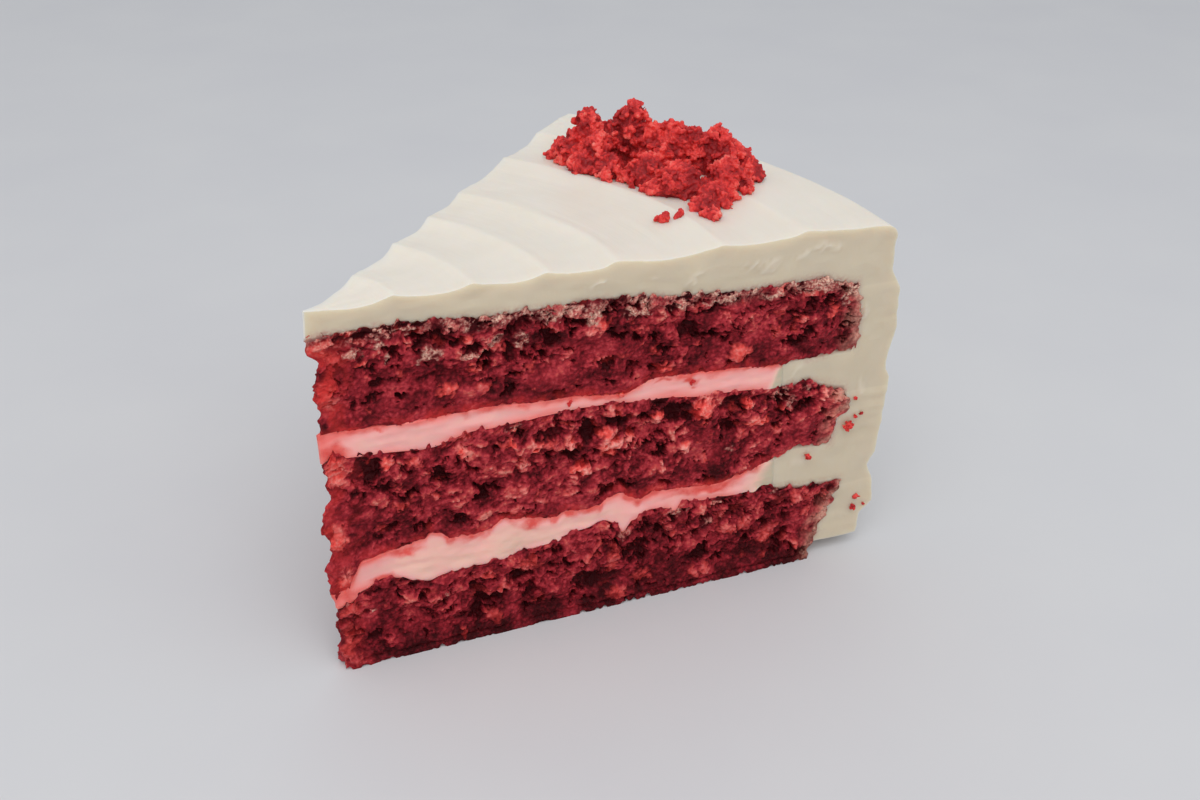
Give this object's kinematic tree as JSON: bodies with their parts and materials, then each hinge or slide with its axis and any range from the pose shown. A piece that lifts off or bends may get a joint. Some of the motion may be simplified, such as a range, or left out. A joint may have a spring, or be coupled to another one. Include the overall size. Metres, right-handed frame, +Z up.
{
  "type": "slice of red velvet cake",
  "caption": "Wedge of red layer cake with cream filling, a cream frosting coat on top and round the back, and a heap of red sponge crumbs on top.",
  "frame": {"origin": "centre of the bounding box at the level of the base, on the surface that the slice stands on", "axes": "+Z up; +X from the tip of the slice to the middle of its rounded back; the cut face that the picture shows faces -Y and a little to -X"},
  "size_m": [0.1195, 0.0933, 0.0904],
  "materials": {
    "sponge": "moist open red crumb, matt",
    "filling": "cream cheese frosting stained pink by the sponge, satin",
    "frosting": "warm off-white cream cheese frosting, smoothed with a spatula, satin",
    "crumb": "loose bright red sponge crumbs, matt"
  },
  "bodies": {
    "root": {"sponge_bottom": "sponge", "filling_lower": "filling", "sponge_middle": "sponge", "filling_upper": "filling", "sponge_top": "sponge", "frosting_coat": "frosting", "crumb_topping": "crumb"}
  },
  "joints": []
}
